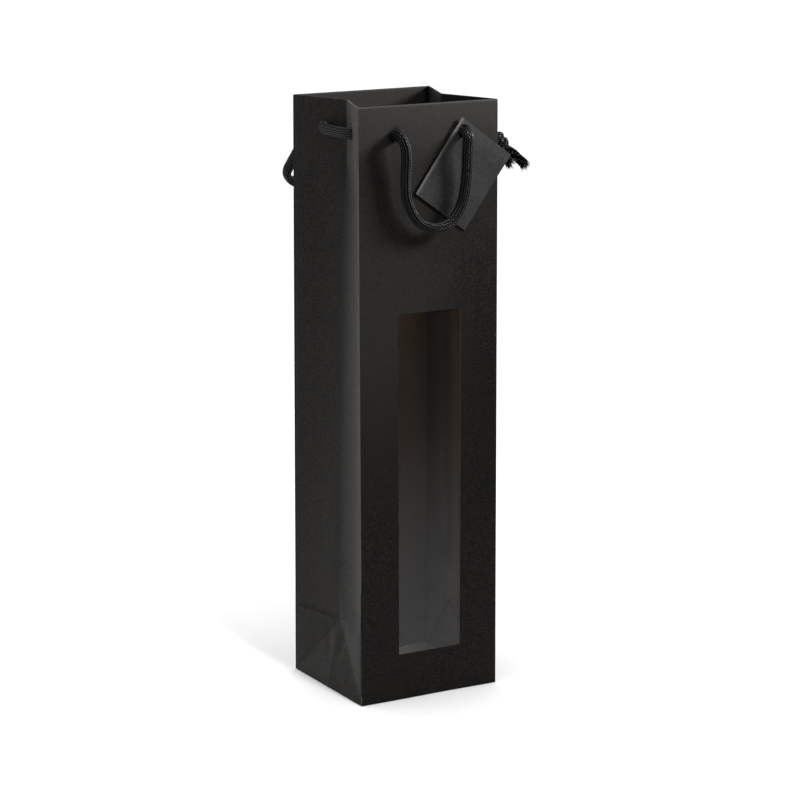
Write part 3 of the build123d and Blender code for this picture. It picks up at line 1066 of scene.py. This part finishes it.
def card_steps(side):
    """Places along a side of the card, closer together at its ends."""
    return [0, 0.25, 0.9, *np.arange(2.5, side - 2, 1.5), side - 0.9, side - 0.25, side]


def make_tag(card, edge):
    """The hanging card, curling off the panel along its free long side, with its round hole cut through."""
    long_steps, short_steps = card_steps(TAG_LONG), card_steps(TAG_SHORT)
    vertices, faces, places = [], [], []
    for depth in (-TAG_CARD / 2, TAG_CARD / 2):
        vertices += [tag_point(p, q, depth) for p in long_steps for q in short_steps]
    wide, size = len(short_steps), len(short_steps) * len(long_steps)
    for i in range(len(long_steps) - 1):
        for j in range(wide - 1):
            a = i * wide + j
            faces.append((a, a + wide, a + wide + 1, a + 1))
            faces.append((size + a, size + a + 1, size + a + wide + 1, size + a + wide))
            places += [0, 0]
    for a, b in rim_pairs(len(long_steps), wide):
        faces.append((a, b, size + b, size + a))
        places.append(1)
    tag = finish_mesh("hanging_tag", vertices, faces, [card, edge], places)
    work = bmesh.new()
    cylinder(work, (HOLE_X, TAG_Y, HOLE_Z), (0, 1, 0), TAG_HOLE_RADIUS, 8)
    cutter = bpy.data.meshes.new("cutter")
    work.to_mesh(cutter)
    work.free()
    cutter.materials.append(edge)
    holder = bpy.data.objects.new("cutter", cutter)
    bpy.context.scene.collection.objects.link(holder)
    mesh = cut(tag, holder)
    smooth_all(mesh, 35)
    points = points_of(mesh)
    places_of_corners = ((0, 0), (TAG_LONG, 0), (TAG_LONG, TAG_SHORT), (0, TAG_SHORT))
    corners = [np.array(tag_point(p, q, 0)) for p, q in places_of_corners]
    from_edges = [distance_to_segment(points, a, b) for a, b in zip(corners, corners[1:] + corners[:1])]
    wear = np.maximum(1.1 * bump(from_edges[1], 0, 1.0), 0.4 * bump(np.minimum(*from_edges[2:]), 0, 0.7))
    # Painted shadow: the cut edge along the card's left side is painted near black, and its worn kraft is
    # left out there.
    left_edge_shadow = 1 - smoothstep(0.5, 1.5, from_edges[0])
    write_attribute(mesh, "painted_shade", left_edge_shadow)
    write_attribute(mesh, "wear", wear * (1 - left_edge_shadow))
    # Painted highlight along the card's left side.
    write_attribute(mesh, "painted_light", 0.6 * bump(from_edges[0], 0.7, 0.9))
    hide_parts("gift_tag")
    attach(tag, "tag")


# Parts carried over from CAD, and the stage


def dress_cad_parts(paper, board, card):
    boards = {"front_stiffening_card": card, "back_stiffening_card": card, "base_board": board}
    for name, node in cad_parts.items():
        if node.hide_render:
            continue
        material = boards.get(name, paper)
        node.data.materials.clear()
        node.data.materials.append(material)


def area_light(name, place, aim, size, power, spread=180):
    data = bpy.data.lights.new(name, "AREA")
    data.shape = "RECTANGLE"
    data.size, data.size_y = size
    data.energy = power
    data.spread = math.radians(spread)
    light = bpy.data.objects.new(name, data)
    light.location = place
    light.rotation_euler = (Vector(aim) - Vector(place)).to_track_quat("-Z", "Y").to_euler()
    bpy.context.scene.collection.objects.link(light)


DARK_SIDE = (0.25, -0.92, -0.3)
SUN = (0.041, -0.483, 0.875)  # where the light comes from that throws the bag's shadow straight back


def studio_world():
    """Light from above, behind and the left, and little from in front. The camera sees white all round."""
    world = bpy.data.worlds.new("studio")
    world.use_nodes = True
    tree = world.node_tree
    background = tree.nodes["Background"]
    place = tree.nodes.new("ShaderNodeTexCoord")
    facing = tree.nodes.new("ShaderNodeVectorMath")
    facing.operation = "DOT_PRODUCT"
    facing.inputs[1].default_value = DARK_SIDE
    ramp = tree.nodes.new("ShaderNodeMapRange")
    ramp.interpolation_type = "SMOOTHSTEP"
    ramp.inputs["From Min"].default_value = -0.38
    ramp.inputs["From Max"].default_value = 0.55
    ramp.inputs["To Min"].default_value = 1.25
    ramp.inputs["To Max"].default_value = 0.12
    tree.links.new(place.outputs["Generated"], facing.inputs[0])
    tree.links.new(facing.outputs["Value"], ramp.inputs["Value"])
    seen = tree.nodes.new("ShaderNodeLightPath").outputs["Is Camera Ray"]
    strength = tree.nodes.new("ShaderNodeMath")
    strength.operation = "MAXIMUM"
    tree.links.new(ramp.outputs["Result"], strength.inputs[0])
    tree.links.new(seen, strength.inputs[1])
    tree.links.new(strength.outputs["Value"], background.inputs["Strength"])
    background.inputs["Color"].default_value = (1, 1, 1, 1)
    bpy.context.scene.world = world


FLOOR_GAP = 0.0002


def make_floor():
    work = bmesh.new()
    outline = [(-7, 9), (-7, -0.2), (-0.35, -0.5), (0.5, -0.42), (7, -0.2), (7, 9)]
    work.faces.new([work.verts.new((x, y, 0)) for x, y in outline])
    work.normal_update()
    bmesh.ops.recalc_face_normals(work, faces=work.faces)
    mesh = bpy.data.meshes.new("floor")
    work.to_mesh(mesh)
    work.free()
    floor = bpy.data.objects.new("floor", mesh)
    floor.location.z = -FLOOR_GAP
    bpy.context.scene.collection.objects.link(floor)
    n = Nodes("floor")
    n.set(Base_Color=(0.99, 0.99, 0.99, 1), Roughness=0.9, Specular_IOR_Level=0.1)
    mesh.materials.append(n.material)


def make_lights():
    studio_world()
    bpy.context.scene.view_settings.view_transform = "Standard"
    area_light("key", (0.36, -0.22, 0.56), (0, -0.045, 0.43), (0.12, 0.12), 0.85, 60)
    area_light("front", (-0.02, -0.4, 1.6), (0, -0.1, 0), (0.05, 0.7), 7.5)
    sun = bpy.data.lights.new("sun", "SUN")
    sun.energy = 0.55
    sun.angle = math.radians(4)
    sun_holder = bpy.data.objects.new("sun", sun)
    sun_holder.rotation_euler = Vector(SUN).to_track_quat("Z", "Y").to_euler()
    bpy.context.scene.collection.objects.link(sun_holder)


make_camera()
make_cords()
OUTER_PAPER = black_paper()
CUT_EDGE = kraft_paper("cut_edge", 0.9)
# The inside's kraft has about half the tone of the cut edges' kraft: painted shade for the inside of the bag.
INNER_PAPER = kraft_paper("kraft_inside", 0.47)
make_sheet(OUTER_PAPER, CUT_EDGE, INNER_PAPER)
make_film(clear_film())
make_seam(OUTER_PAPER)
make_tag(tag_card(), CUT_EDGE)
dress_cad_parts(INNER_PAPER, greyboard("greyboard", 1.0), greyboard("dark_card", 0.15))
make_floor()
make_lights()
